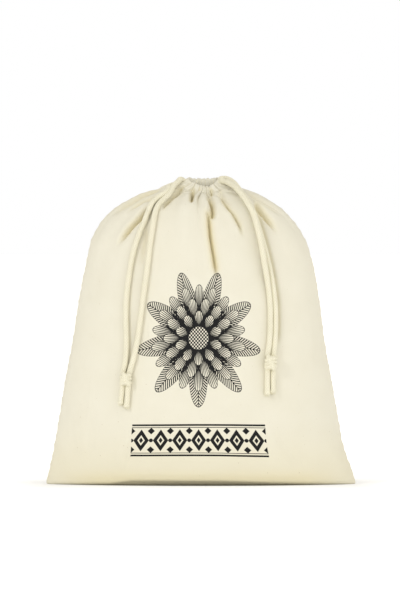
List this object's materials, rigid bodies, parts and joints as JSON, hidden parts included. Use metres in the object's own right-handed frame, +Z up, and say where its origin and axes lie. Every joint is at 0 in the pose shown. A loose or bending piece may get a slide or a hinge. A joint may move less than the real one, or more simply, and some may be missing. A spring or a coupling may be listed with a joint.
{
  "type": "drawstring bag",
  "caption": "Plain woven cotton bread bag standing on its base, its mouth gathered tight by drawstrings that hang over the front in knotted pairs.",
  "frame": {"origin": "on the surface the bag stands on, under the middle of its base", "axes": "+Z up from the base to the mouth, -Y out of the front where the cords hang, X along the bag's width"},
  "size_m": [0.3298, 0.1439, 0.3284],
  "materials": {
    "cotton": "natural unbleached plain weave",
    "cord": "natural braided cotton"
  },
  "bodies": {
    "root": {"front_panel": "cotton", "back_panel": "cotton", "cord_left_outer": "cord", "cord_left_inner": "cord", "cord_right_inner": "cord", "cord_right_outer": "cord", "knot_left": "cord", "knot_right": "cord", "tail_left_outer": "cord", "tail_left_inner": "cord", "tail_right_inner": "cord", "tail_right_outer": "cord"}
  },
  "joints": []
}
